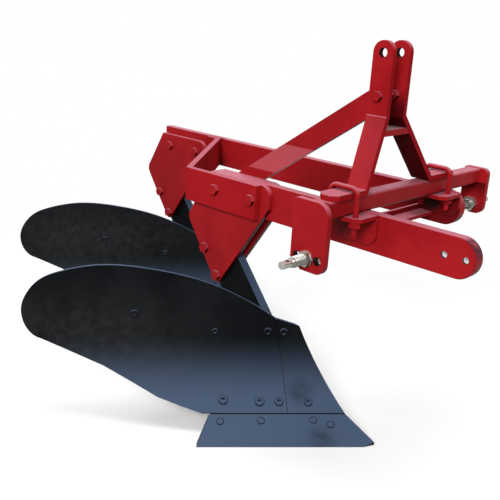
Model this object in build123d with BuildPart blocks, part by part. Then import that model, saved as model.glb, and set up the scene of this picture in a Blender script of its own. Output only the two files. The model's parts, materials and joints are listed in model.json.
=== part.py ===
from build123d import *
import math
import os

os.makedirs("parts", exist_ok=True)

# Two-furrow moldboard plough for a tractor's three-point hitch.
# +X is forward, +Y is to the left, +Z is up and z = 0 is the ground.
# x = 0, y = 0 is the middle of the front landside's sole.

# The frame stands nose down over the two bodies on the ground. Its own sizes below
# are taken along it and square to it, from an origin that the pitch swings about PIVOT_X.
PITCH = 2.59
PIVOT_X = 301.0

# main frame: two flat beams on edge, the left one a body further back
BEAM_TOP = 552.0
BEAM_H = 86.0
BEAM_T = 25.0
BEAM_MID_Z = BEAM_TOP - BEAM_H / 2
RIGHT_BEAM_Y = -13.0
BODY_STEP_X = -598.6
BODY_STEP_Y = 343.0
PLATE_STEP_X = -597.0
PLATE_STEP_Z = -22.0
LEFT_BEAM_Y = RIGHT_BEAM_Y + BODY_STEP_Y
RIGHT_BEAM_TIP_X = 498.0
LEFT_BEAM_TIP_X = 268.0
BEAM_REAR_X = -243.0
NOSE_HOLE_D = 14.0
NOSE_HOLE_X = (426.0, 474.0)
EDGE = 1.5
FIT_GAP = 0.2

# bolts of the frame
BOLT_D = 16.0
HOLE_D = 17.0
HEAD_AF = 24.0
HEAD_H = 10.0
NUT_H = 13.0
WASHER_RIM = 4.0
WASHER_T = 3.0
BOLT_END = 5.0

# side plates that clamp each leg to its beam, placed from the upper front bolt
PLATE_T = 14.0
PLATE_BOLT_X = -80.0
PLATE_BOLT_DROP = 37.0
PLATE_BOLT_Z = BEAM_TOP - PLATE_BOLT_DROP
PLATE_BOLTS = ((0, 0), (-124, 0), (-169, -167), (-121, -230))
PLATE_OUTLINE = ((-163, 37), (45, 37), (42, -20), (-122, -260), (-242, -96))
PLATE_CORNERS = (3, 29, 6, 14, 28)

# legs, set out along the line of their two bolts
LEG_ANGLE = 50.0
LEG_FRONT = 80.0
LEG_REAR = -22.0
LEG_OVER = 30.0

# cross tie: front end beside the front body's plates, rear end on the left beam
TIE_T = 16.0
TIE_GAP = 1.5
TIE_ANGLE = 53.0
TIE_CORNER_X = -314.0
TIE_FRONT_X = -64.0
TIE_FLANGE_T = 14.0
TIE_FLANGE_END_X = -622.0
TIE_BEND_R = 8.0

# angle bar between the beams
ANGLE_REAR_X = 150.0
ANGLE_DROP = 68.0
ANGLE_LEG = 46.0
ANGLE_RISE = 20.0
ANGLE_T = 8.0

# cross tube with the hitch plates
TUBE = 38.0
TUBE_WALL = 5.0
TUBE_CORNER = 6.0
TUBE_FRONT_X = 230.0
TUBE_MID_X = TUBE_FRONT_X - TUBE / 2
TUBE_TOP = BEAM_TOP + TUBE
HITCH_OUT_R = -174.0
HITCH_OUT_L = 486.0
HITCH_T = 15.0
HITCH_X_R = (152.0, 244.0)
HITCH_X_L = (182.0, 250.0)
HITCH_OVER_TUBE = 1.0
HITCH_DROP_R = 113.0
HITCH_DROP_L = 81.0
HITCH_NOTCH = (30.0, 22.0)
HITCH_LOW_CORNER = 22.0
HITCH_REAR_CORNER = 10.0
HITCH_TOP_CORNER_R = 32.0
HITCH_TOP_CORNER_L = 16.0
PIN_D = 22.0
PIN_X_R = 197.6
PIN_X_L = 215.0
PIN_ABOVE_LOW_R = 29.0
PIN_ABOVE_LOW_L = 25.0
PIN_OUT_R = 78.0
PIN_OUT_L = 64.0
PIN_IN = 22.0
PIN_SEAT = 35.0
PIN_TIP_D = 17.0
PIN_COLLAR_D = 34.0
PIN_COLLAR_T = 4.0
PIN_HEX_AF = 30.0
PIN_HEX_T = 9.0
PIN_NUT_AF = 34.0
PIN_NUT_T = 16.0
LINCH_HOLE_D = 8.0
SPARE_STEP = 27.2
SPARE_HOLE_D = 19.0

# mast: two bent straps with a tie plate, a brace and U-bolts
MAST_Y = 40.5
STRAP_W = 50.0
STRAP_T = 12.5
TOP_FLAT = 0.2
CLEVIS_GAP = 50.0
MAST_RISE = 291.0
MAST_HOLE_D = 19.5
MAST_HOLE_Z = TUBE_TOP + MAST_RISE
MAST_BEND_RISE = 162.0
MAST_BEND_Z = TUBE_TOP + MAST_BEND_RISE
MAST_BOLT_DROP = 88.0
MAST_BOLT_D = 12.0
MAST_BOLT_AF = 19.0
MAST_BOLT_HOLE_D = 13.0
MAST_BOLT_Z = MAST_HOLE_Z - MAST_BOLT_DROP
FOOT_R = (-42.0, -146.0)
FOOT_L = (217.0, 330.0)
FOOT_CHAMFER = 14.0
U_BOLT_D = 12.0
U_BOLT_SPAN = 70.0
U_BOLT_BEND = 16.0
U_BOLT_RISE = 2.5
U_BOLT_Y_R = -84.0
U_BOLT_Y_L = 286.0
U_BOLT_REACH = 40.0
U_BOLT_LOW_Z = BEAM_TOP - U_BOLT_REACH
U_BOLT_NUT_AF = 24.0
U_BOLT_NUT_T = 13.0
U_BOLT_PLAY = 0.5
LUG_T = 9.0
LUG_OUT = 74.0
LUG_BORDER = 36.0
LUG_CHAMFER = 14.0
PAD_X = (167.0, 266.0)
PAD_DROP_R = 69.0
PAD_DROP_L = ANGLE_DROP - ANGLE_T
PAD_T = 6.0
PAD_CORNER = 25.0
BRACE_W = 50.0
BRACE_T = 12.0
BRACE_FOLDS = (20.0, 98.0)
BRACE_END = 13.0
MAST_TIE_T = 13.0
MAST_TIE_DROP = 28.0

# share, mouldboard and landside, from the share's point
POINT_X = 316.4
POINT_Y = 6.0
SHARE_TURN = 46.66
SHARE_RUN = 74.5
SHARE_RISE = 46.0
SHARE_LEN = 424.0
SHARE_TOP_END = 392.0
SHARE_NOSE = 36.6
NOSE_ANGLE = 69.0
SHARE_T = 10.0
SHARE_AHEAD = 20.0
SHARE_DEPTH = 150.0
BOARD_R = 750.0
BOARD_SLOPE = 50.0
BOARD_T = 8.0
SEAM_LOW = 208.0
SEAM_HIGH = 234.0
SEAM_TOP = 242.0
SEAM_GAP = 1.0
BOARD_LOW = ((804, 195), (650, 138), (520, 77), (465, 60), (412, SHARE_RISE))
BOARD_TOP = (
    (804, 195), (844, 225), (854, 262), (841, 298), (812, 327), (765, 346), (665, 363),
    (545, 355), (421, 329), (340, 299), (SEAM_HIGH, SEAM_TOP),
)
SHIN_TOP = (178.0, 226.0)
LAND_T = 12.0
LAND_H = 80.0
LAND_X = (-330.0, 190.0)
FROG_T = 14.0
FROG_REACH = 350.0
FROG_TOP = 120.0
FROG_X = (-84.0, 190.0)
FROG_LOW = 3.0
FROG_LAP = 150.0
FROG_WALL = 28.0
FROG_JOIN = 20.0
FROG_BOLTS = ((-55.0, 112.0), (0.0, 102.0))
LEG_TOE = (54.0, 129.0)
LEG_HEEL_Z = 141.0
STAY_D = 20.0
STAY_FROM = (-85.0, 174.0)
STAY_TO = (560.0, 190.0)

pitch = math.radians(PITCH)
ahead = Vector(math.cos(pitch), 0, -math.sin(pitch))
upward = Vector(math.sin(pitch), 0, math.cos(pitch))
frame_zero = Vector(PIVOT_X, 0, 0) - ahead * PIVOT_X
frame_up = Axis(origin=(0, 0, 0), direction=upward)


def ground_side(y):
    """A sketch plane facing right at y, with x ahead and z up from the ground."""
    return Plane(origin=(0, y, 0), x_dir=(1, 0, 0), z_dir=(0, -1, 0))


def frame_point(x, y, z):
    """The place of a point of the frame."""
    return frame_zero + ahead * x + upward * z + Vector(0, y, 0)


def frame_side(y):
    """The frame's sketch plane facing right at y."""
    return Plane(origin=frame_point(0, y, 0), x_dir=ahead, z_dir=(0, -1, 0))


def frame_level(z):
    """The frame's sketch plane facing up at z."""
    return Plane(origin=frame_point(0, 0, z), x_dir=ahead, z_dir=upward)


def frame_section(x):
    """The frame's sketch plane facing ahead at x, with y and z in it."""
    return Plane(origin=frame_point(x, 0, 0), x_dir=(0, 1, 0), z_dir=ahead)


def on_ground(x, z):
    """The frame's x and z as seen from the ground."""
    place = frame_point(x, 0, z)
    return place.X, place.Z


def rims(part):
    """The outer edges of a plate's two broad sides."""
    return [edge for face in part.faces().filter_by(Axis.Y) for edge in face.outer_wire().edges()]


def strap_face(out, bend_y, z):
    """y of the inner face of a mast strap's slanting run at height z."""
    y_out = MAST_Y + out * (CLEVIS_GAP / 2 + STRAP_T)
    lean = (bend_y - y_out) / (MAST_BEND_Z - TUBE_TOP - STRAP_T)
    return y_out + lean * (MAST_BEND_Z - z) - out * STRAP_T * math.hypot(1, lean)


def hex_bolt(side, x, z, head_y, nut_y, thickness=BOLT_D, across=HEAD_AF):
    """A hex bolt from the right with its washer and nut on the left."""
    with BuildPart() as bolt:
        with BuildSketch(side(head_y)):
            with Locations((x, z)):
                RegularPolygon(across / 2, 6, major_radius=False)
        extrude(amount=HEAD_H)
        with BuildSketch(side(head_y)):
            with Locations((x, z)):
                Circle(thickness / 2)
        extrude(amount=-(nut_y - head_y + WASHER_T + NUT_H + BOLT_END))
        with BuildSketch(side(nut_y)):
            with Locations((x, z)):
                Circle((across + WASHER_RIM) / 2)
        extrude(amount=-WASHER_T)
        with BuildSketch(side(nut_y + WASHER_T)):
            with Locations((x, z)):
                RegularPolygon(across / 2, 6, major_radius=False)
        extrude(amount=-NUT_H)
    return bolt.part


# main beams

for name, mid_y, tip_x, step_x, step_z, nose_holes in (
    ("beam_right", RIGHT_BEAM_Y, RIGHT_BEAM_TIP_X, 0.0, 0.0, NOSE_HOLE_X),
    ("beam_left", LEFT_BEAM_Y, LEFT_BEAM_TIP_X, PLATE_STEP_X, PLATE_STEP_Z, ()),
):
    nose_x = tip_x - BEAM_H / 2
    rear_x = BEAM_REAR_X + step_x
    with BuildPart() as beam:
        with BuildSketch(frame_side(mid_y)):
            with Locations((nose_x, BEAM_MID_Z)):
                Circle(BEAM_H / 2)
            with Locations(((nose_x + rear_x) / 2, BEAM_MID_Z)):
                Rectangle(nose_x - rear_x, BEAM_H)
        extrude(amount=BEAM_T / 2, both=True)
        fillet(rims(beam), EDGE)
        with BuildSketch(frame_side(mid_y)):
            for hole_x in nose_holes:
                with Locations((hole_x, BEAM_MID_Z)):
                    Circle(NOSE_HOLE_D / 2)
            for bolt_x, bolt_z in PLATE_BOLTS[:2]:
                with Locations((PLATE_BOLT_X + step_x + bolt_x, PLATE_BOLT_Z + step_z + bolt_z)):
                    Circle(HOLE_D / 2)
        extrude(amount=BEAM_T, both=True, mode=Mode.SUBTRACT)
    beam.part.label = name
    export_step(beam.part, "parts/" + name + ".step")

# cross tie, a bent bar on edge

tie_out_y = RIGHT_BEAM_Y - BEAM_T / 2 - PLATE_T - TIE_GAP - TIE_T
tie_in_y = tie_out_y + TIE_T
left_face_y = LEFT_BEAM_Y - BEAM_T / 2
slope = 1 / math.tan(math.radians(TIE_ANGLE))
back_x = TIE_CORNER_X - (left_face_y - TIE_FLANGE_T - tie_out_y) * slope
inner_x = TIE_CORNER_X + TIE_T / math.sin(math.radians(TIE_ANGLE)) - TIE_T * slope
with BuildPart() as cross_tie:
    with BuildSketch(frame_level(BEAM_TOP - BEAM_H)) as tie_outline:
        with BuildLine():
            Polyline(
                (TIE_FRONT_X, tie_out_y),
                (TIE_CORNER_X, tie_out_y),
                (back_x, left_face_y - TIE_FLANGE_T),
                (TIE_FLANGE_END_X, left_face_y - TIE_FLANGE_T),
                (TIE_FLANGE_END_X, left_face_y),
                (inner_x - (left_face_y - tie_in_y) * slope, left_face_y),
                (inner_x, tie_in_y),
                (TIE_FRONT_X, tie_in_y),
                close=True,
            )
        make_face()
        fillet(tie_outline.vertices().group_by(Axis.Y)[0].sort_by(Axis.X)[0], TIE_BEND_R)
    extrude(amount=BEAM_H)
    fillet([edge for face in cross_tie.faces().filter_by(frame_up) for edge in face.edges()], EDGE)
    with BuildSketch(frame_side(tie_out_y)):
        for bolt_x, bolt_z in PLATE_BOLTS[:2]:
            with Locations((PLATE_BOLT_X + bolt_x, PLATE_BOLT_Z + bolt_z)):
                Circle(HOLE_D / 2)
    extrude(amount=-TIE_T, mode=Mode.SUBTRACT)
cross_tie.part.label = "cross_tie"
export_step(cross_tie.part, "parts/cross_tie.step")

# cross member, an angle bar between the beams

with BuildPart() as cross_member:
    with BuildSketch(frame_side(left_face_y)):
        with Locations((ANGLE_REAR_X, BEAM_TOP - ANGLE_DROP)):
            Rectangle(ANGLE_LEG, ANGLE_T, align=(Align.MIN, Align.MIN))
            Rectangle(ANGLE_T, ANGLE_RISE, align=(Align.MIN, Align.MIN))
    extrude(amount=left_face_y - RIGHT_BEAM_Y - BEAM_T / 2)
cross_member.part.label = "cross_member"
export_step(cross_member.part, "parts/cross_member.step")

# cross tube and hitch plates

tube_low_y = HITCH_OUT_R + HITCH_T
tube_high_y = HITCH_OUT_L - HITCH_T
with BuildPart() as cross_tube:
    with BuildSketch(frame_side(tube_low_y)):
        with Locations((TUBE_MID_X, BEAM_TOP + TUBE / 2)):
            RectangleRounded(TUBE, TUBE, TUBE_CORNER)
            Rectangle(TUBE - 2 * TUBE_WALL, TUBE - 2 * TUBE_WALL, mode=Mode.SUBTRACT)
    extrude(amount=tube_low_y - tube_high_y)
cross_tube.part.label = "cross_tube"
export_step(cross_tube.part, "parts/cross_tube.step")

for side, out_y, out, (rear_x, front_x), low_z, corner, pin_x, pin_z, pin_out, spare in (
    (
        "right", HITCH_OUT_R, 1, HITCH_X_R, BEAM_TOP - HITCH_DROP_R, HITCH_TOP_CORNER_R,
        PIN_X_R, BEAM_TOP - HITCH_DROP_R + PIN_ABOVE_LOW_R, PIN_OUT_R, (-SPARE_STEP, SPARE_STEP),
    ),
    (
        "left", HITCH_OUT_L, -1, HITCH_X_L, BEAM_TOP - HITCH_DROP_L, HITCH_TOP_CORNER_L,
        PIN_X_L, BEAM_TOP - HITCH_DROP_L + PIN_ABOVE_LOW_L, PIN_OUT_L, (),
    ),
):
    high_z = TUBE_TOP + HITCH_OVER_TUBE
    with BuildPart() as hitch_plate:
        with BuildSketch(frame_side(out_y)) as outline:
            with BuildLine():
                Polyline(
                    (rear_x, high_z),
                    (front_x, high_z),
                    (front_x, low_z),
                    (rear_x + HITCH_NOTCH[0], low_z),
                    (rear_x, low_z + HITCH_NOTCH[1]),
                    close=True,
                )
            make_face()
            fillet(outline.vertices().group_by(Axis.X)[-1].sort_by(Axis.Y)[0], HITCH_LOW_CORNER)
            fillet(outline.vertices().group_by(Axis.Y)[-1].sort_by(Axis.X)[-1], corner)
            fillet(outline.vertices().group_by(Axis.Y)[-1].sort_by(Axis.X)[0], HITCH_REAR_CORNER)
            with Locations((pin_x, pin_z)):
                Circle(PIN_D / 2, mode=Mode.SUBTRACT)
            for step in spare:
                with Locations((pin_x + step, pin_z)):
                    Circle(SPARE_HOLE_D / 2, mode=Mode.SUBTRACT)
        extrude(amount=-out * HITCH_T)
        fillet(rims(hitch_plate), EDGE)
    hitch_plate.part.label = "hitch_plate_" + side
    export_step(hitch_plate.part, "parts/hitch_plate_" + side + ".step")

    in_y = out_y + out * HITCH_T
    tip = pin_out - PIN_COLLAR_T - PIN_HEX_T - PIN_SEAT
    with BuildPart() as hitch_pin:
        for start_y, length, diameter, sides in (
            (in_y + out * PIN_IN, PIN_IN + HITCH_T + pin_out - tip, PIN_D, 0),
            (out_y - out * (pin_out - tip), tip, PIN_TIP_D, 0),
            (out_y, PIN_COLLAR_T, PIN_COLLAR_D, 0),
            (out_y - out * PIN_COLLAR_T, PIN_HEX_T, PIN_HEX_AF, 6),
            (in_y + out * PIN_NUT_T, PIN_NUT_T, PIN_NUT_AF, 6),
        ):
            with BuildSketch(frame_side(start_y)):
                with Locations((pin_x, pin_z)):
                    if sides:
                        RegularPolygon(diameter / 2, sides, major_radius=False)
                    else:
                        Circle(diameter / 2)
            extrude(amount=out * length)
        with BuildSketch(frame_level(pin_z)):
            with Locations((pin_x, out_y - out * (pin_out - tip / 2))):
                Circle(LINCH_HOLE_D / 2)
        extrude(amount=PIN_D, both=True, mode=Mode.SUBTRACT)
    hitch_pin.part.label = "hitch_pin_" + side
    export_step(hitch_pin.part, "parts/hitch_pin_" + side + ".step")

# mast straps: upright with a round top, bent outward and again onto the tube

for side, out, foot in (("right", -1, FOOT_R), ("left", 1, FOOT_L)):
    y_in = MAST_Y + out * CLEVIS_GAP / 2
    y_out = y_in + out * STRAP_T
    bend_y, end_y = foot
    with BuildPart() as strap:
        with BuildSketch(frame_section(TUBE_MID_X)):
            with BuildLine():
                line = Polyline(
                    (y_out, MAST_HOLE_Z + STRAP_W / 2),
                    (y_out, MAST_BEND_Z),
                    (bend_y, TUBE_TOP + STRAP_T),
                    (end_y, TUBE_TOP + STRAP_T),
                )
                offset(line, amount=STRAP_T, side=Side.LEFT if out < 0 else Side.RIGHT)
            make_face()
        extrude(amount=STRAP_W / 2, both=True)
        top_edges = strap.edges().filter_by(Axis.Y).group_by(frame_up)[-1]
        fillet(top_edges, STRAP_W / 2 - TOP_FLAT / 2)
        end_edges = strap.edges().filter_by(frame_up).group_by(Axis.Y)[0 if out < 0 else -1]
        chamfer(end_edges, FOOT_CHAMFER)
        with BuildSketch(frame_side(y_in)):
            with Locations((TUBE_MID_X, MAST_HOLE_Z)):
                Circle(MAST_HOLE_D / 2)
            with Locations((TUBE_MID_X, MAST_BOLT_Z)):
                Circle(MAST_BOLT_HOLE_D / 2)
        extrude(amount=-out * STRAP_T, mode=Mode.SUBTRACT)
    strap.part.label = "mast_strap_" + side
    export_step(strap.part, "parts/mast_strap_" + side + ".step")

    # U-bolt over the foot and the tube, with its lug on the beam
    y = U_BOLT_Y_R if side == "right" else U_BOLT_Y_L
    beam_y = (RIGHT_BEAM_Y if side == "right" else LEFT_BEAM_Y) - BEAM_T / 2
    top_z = TUBE_TOP + STRAP_T + U_BOLT_D / 2 + U_BOLT_RISE
    half = U_BOLT_SPAN / 2
    with BuildPart() as u_bolt:
        with BuildLine(frame_side(y)):
            FilletPolyline(
                (TUBE_MID_X - half, U_BOLT_LOW_Z),
                (TUBE_MID_X - half, top_z),
                (TUBE_MID_X + half, top_z),
                (TUBE_MID_X + half, U_BOLT_LOW_Z),
                radius=U_BOLT_BEND,
            )
        with BuildSketch(frame_level(U_BOLT_LOW_Z)):
            with Locations((TUBE_MID_X - half, y)):
                Circle(U_BOLT_D / 2)
        sweep()
        with BuildSketch(frame_level(BEAM_TOP - LUG_T)):
            with Locations((TUBE_MID_X - half, y), (TUBE_MID_X + half, y)):
                RegularPolygon(U_BOLT_NUT_AF / 2, 6, major_radius=False)
        extrude(amount=-U_BOLT_NUT_T)
    u_bolt.part.label = "u_bolt_" + side
    export_step(u_bolt.part, "parts/u_bolt_" + side + ".step")

    with BuildPart() as lug:
        with BuildSketch(frame_level(BEAM_TOP)) as lug_outline:
            with Locations((TUBE_MID_X, beam_y - LUG_OUT / 2)):
                Rectangle(U_BOLT_SPAN + LUG_BORDER, LUG_OUT)
            chamfer(lug_outline.vertices().group_by(Axis.Y)[0], LUG_CHAMFER)
            with Locations((TUBE_MID_X - half, y), (TUBE_MID_X + half, y)):
                Circle(U_BOLT_D / 2 + U_BOLT_PLAY, mode=Mode.SUBTRACT)
        extrude(amount=-LUG_T)
    lug.part.label = "clamp_lug_" + side
    export_step(lug.part, "parts/clamp_lug_" + side + ".step")

    # backing plate under the lug on the beam's side
    pad_drop = PAD_DROP_R if side == "right" else PAD_DROP_L
    with BuildPart() as pad:
        with BuildSketch(frame_side(beam_y)) as pad_outline:
            with Locations(((PAD_X[0] + PAD_X[1]) / 2, BEAM_TOP - (LUG_T + pad_drop) / 2)):
                Rectangle(PAD_X[1] - PAD_X[0], pad_drop - LUG_T)
            fillet(pad_outline.vertices().group_by(Axis.Y)[0], PAD_CORNER)
        extrude(amount=PAD_T)
    pad.part.label = "clamp_pad_" + side
    export_step(pad.part, "parts/clamp_pad_" + side + ".step")

tie_high = MAST_BEND_Z - MAST_TIE_DROP
tie_low = tie_high - MAST_TIE_T
with BuildPart() as mast_tie:
    with BuildSketch(frame_section(TUBE_MID_X)):
        with BuildLine():
            Polyline(
                (strap_face(-1, FOOT_R[0], tie_high) + FIT_GAP, tie_high),
                (strap_face(-1, FOOT_R[0], tie_low) + FIT_GAP, tie_low),
                (strap_face(1, FOOT_L[0], tie_low) - FIT_GAP, tie_low),
                (strap_face(1, FOOT_L[0], tie_high) - FIT_GAP, tie_high),
                close=True,
            )
        make_face()
    extrude(amount=STRAP_W / 2, both=True)
mast_tie.part.label = "mast_tie_plate"
export_step(mast_tie.part, "parts/mast_tie_plate.step")

# brace from the mast down to the front body's rear bolt, folded sideways on the way

brace_out_y = RIGHT_BEAM_Y + BEAM_T / 2 + PLATE_T
brace_top_y = MAST_Y - CLEVIS_GAP / 2
rear_bolt = (PLATE_BOLT_X + PLATE_BOLTS[1][0], PLATE_BOLT_Z)
brace_run = TUBE_MID_X - rear_bolt[0]
brace_rise = MAST_BOLT_Z - rear_bolt[1]
brace_angle = math.degrees(math.atan2(brace_rise, brace_run))
brace_low = rear_bolt[1] - BRACE_W
brace_high = MAST_BOLT_Z + BRACE_W
fold_z = [BEAM_TOP + rise for rise in BRACE_FOLDS]
with BuildPart() as brace:
    with BuildSketch(frame_section(rear_bolt[0] - BRACE_W)):
        with BuildLine():
            Polyline(
                (brace_out_y, brace_low),
                (brace_out_y, fold_z[0]),
                (brace_top_y, fold_z[1]),
                (brace_top_y, brace_high),
                (brace_top_y + BRACE_T, brace_high),
                (brace_top_y + BRACE_T, fold_z[1]),
                (brace_out_y + BRACE_T, fold_z[0]),
                (brace_out_y + BRACE_T, brace_low),
                close=True,
            )
        make_face()
    extrude(amount=brace_run + 2 * BRACE_W)
    with BuildSketch(frame_side(brace_out_y - BRACE_T)):
        with Locations(((TUBE_MID_X + rear_bolt[0]) / 2, (MAST_BOLT_Z + rear_bolt[1]) / 2)):
            SlotCenterToCenter(math.hypot(brace_run, brace_rise), BRACE_W, rotation=brace_angle)
        with Locations((TUBE_MID_X + BRACE_END + BRACE_W / 2, MAST_BOLT_Z)):
            Rectangle(BRACE_W, 2 * BRACE_W, mode=Mode.SUBTRACT)
        with Locations(rear_bolt):
            Circle(HOLE_D / 2, mode=Mode.SUBTRACT)
        with Locations((TUBE_MID_X, MAST_BOLT_Z)):
            Circle(MAST_BOLT_HOLE_D / 2, mode=Mode.SUBTRACT)
    extrude(amount=-5 * BRACE_T, mode=Mode.INTERSECT)
brace.part.label = "mast_brace"
export_step(brace.part, "parts/mast_brace.step")

# mast bolt through both straps, with a second nut inside the left one

left_in_y = MAST_Y + CLEVIS_GAP / 2
mast_bolt_ends = (brace_top_y - STRAP_T, left_in_y + STRAP_T)
with BuildPart() as mast_bolt:
    add(hex_bolt(frame_side, TUBE_MID_X, MAST_BOLT_Z, *mast_bolt_ends, MAST_BOLT_D, MAST_BOLT_AF))
    with BuildSketch(frame_side(left_in_y)):
        with Locations((TUBE_MID_X, MAST_BOLT_Z)):
            RegularPolygon(MAST_BOLT_AF / 2, 6, major_radius=False)
    extrude(amount=NUT_H)
mast_bolt.part.label = "mast_bolt"
export_step(mast_bolt.part, "parts/mast_bolt.step")

# bodies: plates, leg, frog, landside, share, shin, mouldboard and stay

turn = math.radians(SHARE_TURN)
nose = math.radians(NOSE_ANGLE)
rise = math.atan2(SHARE_RISE, SHARE_RUN)
board_slope = math.radians(BOARD_SLOPE)
centre_run = SHARE_RUN - BOARD_R * math.sin(board_slope)
centre_z = SHARE_RISE + BOARD_R * math.cos(board_slope)
room_len = BOARD_LOW[0][0]
room_top = SEAM_TOP + LAND_H


def behind(plane, gap, top):
    """The section behind the share and mouldboard, that far clear of their backs."""
    drop = SHARE_T + gap
    with BuildSketch(plane) as section:
        with Locations((room_len / 2, top / 2)):
            Rectangle(room_len, top)
        with Locations((centre_run, centre_z)):
            Circle(BOARD_R + BOARD_T + gap, mode=Mode.SUBTRACT)
        with BuildLine():
            Polyline(
                (-SHARE_T, 0),
                (drop / math.sin(rise), 0),
                (SHARE_RUN + drop * math.sin(rise), SHARE_RISE - drop * math.cos(rise)),
                (SHARE_RUN, SHARE_RISE + SHARE_T),
                (-SHARE_T, SHARE_RISE + SHARE_T),
                close=True,
            )
        make_face(mode=Mode.SUBTRACT)
    return section.sketch


for body, step_x, step_y, plate_x, plate_z in (
    ("front", 0.0, 0.0, 0.0, 0.0),
    ("rear", BODY_STEP_X, BODY_STEP_Y, PLATE_STEP_X, PLATE_STEP_Z),
):
    bolt_x0 = PLATE_BOLT_X + plate_x
    bolt_z0 = PLATE_BOLT_Z + plate_z
    beam_y = RIGHT_BEAM_Y + step_y
    bolts = [(bolt_x0 + x, bolt_z0 + z) for x, z in PLATE_BOLTS]
    corners = [(bolt_x0 + x, bolt_z0 + z) for x, z in PLATE_OUTLINE]
    for part_name, plate_y in (
        ("plate_right_" + body, beam_y - BEAM_T / 2),
        ("plate_left_" + body, beam_y + BEAM_T / 2 + PLATE_T),
    ):
        with BuildPart() as side_plate:
            with BuildSketch(frame_side(plate_y)):
                with BuildLine():
                    Polyline(*corners, close=True)
                make_face()
            extrude(amount=PLATE_T)
            for (x, z), radius in zip(corners, PLATE_CORNERS):
                edges = side_plate.edges().filter_by(Axis.Y)
                fillet(edges.sort_by_distance(frame_point(x, plate_y, z))[0], radius)
            fillet(rims(side_plate), EDGE)
            with BuildSketch(frame_side(plate_y)):
                with Locations(*bolts):
                    Circle(HOLE_D / 2)
            extrude(amount=PLATE_T, mode=Mode.SUBTRACT)
        side_plate.part.label = part_name
        export_step(side_plate.part, "parts/" + part_name + ".step")

    # the leg slants forward from its two bolts down to a foot on the frog and landside
    leg_angle = math.radians(LEG_ANGLE)
    down = ahead * math.cos(leg_angle) - upward * math.sin(leg_angle)
    square = ahead * math.sin(leg_angle) + upward * math.cos(leg_angle)
    leg_bolt = frame_point(bolts[2][0], 0, bolts[2][1])
    front_top = leg_bolt + square * LEG_FRONT - down * LEG_OVER
    rear_top = leg_bolt + square * LEG_REAR
    crown = rear_top + square * LEG_OVER - down * LEG_OVER
    toe_x = LEG_TOE[0] + step_x
    heel_x = FROG_X[0] + step_x
    with BuildPart() as leg:
        with BuildSketch(ground_side(beam_y)):
            with BuildLine():
                Polyline(
                    (front_top.X, front_top.Z),
                    (toe_x, LEG_TOE[1]),
                    (toe_x, LAND_H),
                    (heel_x, LAND_H),
                    (heel_x, LEG_HEEL_Z),
                    (rear_top.X, rear_top.Z),
                    (crown.X, crown.Z),
                    close=True,
                )
            make_face()
            with Locations(*[on_ground(x, z) for x, z in bolts[2:]]):
                Circle(HOLE_D / 2, mode=Mode.SUBTRACT)
            with Locations(*[(x + step_x, z) for x, z in FROG_BOLTS]):
                Circle(HOLE_D / 2, mode=Mode.SUBTRACT)
        extrude(amount=BEAM_T / 2, both=True)
    leg.part.label = "leg_" + body
    export_step(leg.part, "parts/leg_" + body + ".step")

    leg_right_y = beam_y - BEAM_T / 2
    right_y = leg_right_y - PLATE_T
    left_y = beam_y + BEAM_T / 2 + PLATE_T
    upper_y = tie_out_y if body == "front" else right_y
    brace_y = brace_out_y + BRACE_T if body == "front" else left_y
    nuts_y = (left_y, brace_y, left_y, left_y)
    heads_y = (upper_y, upper_y, right_y, right_y)
    with BuildPart() as plate_bolts:
        for (x, z), head_y, nut_y in zip(bolts, heads_y, nuts_y):
            add(hex_bolt(frame_side, x, z, head_y, nut_y))
    plate_bolts.part.label = "plate_bolts_" + body
    export_step(plate_bolts.part, "parts/plate_bolts_" + body + ".step")

    # sections across the share's edge are drawn in this plane, run back and z up
    point_at = Vector(POINT_X + step_x, POINT_Y + step_y, 0)
    along = Vector(-math.cos(turn), -math.sin(turn), 0)
    back = Vector(-math.sin(turn), math.cos(turn), 0)
    across = Plane(origin=point_at, x_dir=back, z_dir=-along)
    elevation = Plane(origin=point_at, x_dir=along, z_dir=back)
    land_cut = Plane(origin=point_at, x_dir=(1, 0, 0), z_dir=(0, -1, 0))
    nose_cut = Plane(origin=point_at + along * SHARE_NOSE, z_dir=(-math.sin(nose), math.cos(nose), 0))

    with BuildPart() as share:
        with BuildSketch(across):
            with BuildLine():
                Polyline(
                    (0, 0),
                    (SHARE_RUN, SHARE_RISE),
                    (SHARE_RUN + SHARE_T * math.sin(rise), SHARE_RISE - SHARE_T * math.cos(rise)),
                    (SHARE_T / math.sin(rise), 0),
                    close=True,
                )
            make_face()
        extrude(amount=-SHARE_LEN)
        with BuildSketch(elevation.offset(-SHARE_AHEAD)):
            with BuildLine():
                Polyline((0, 0), (SHARE_LEN, 0), (SHARE_TOP_END, SHARE_RISE), (0, SHARE_RISE), close=True)
            make_face()
        extrude(amount=SHARE_DEPTH, mode=Mode.INTERSECT)
        split(bisect_by=land_cut, keep=Keep.TOP)
        split(bisect_by=nose_cut, keep=Keep.TOP)
    share.part.label = "share_" + body
    export_step(share.part, "parts/share_" + body + ".step")

    # room behind the share and the mouldboard, which the frog, landside and stay fill
    with BuildPart() as room:
        extrude(behind(across, FIT_GAP, room_top), amount=room_len, dir=along)

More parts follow.
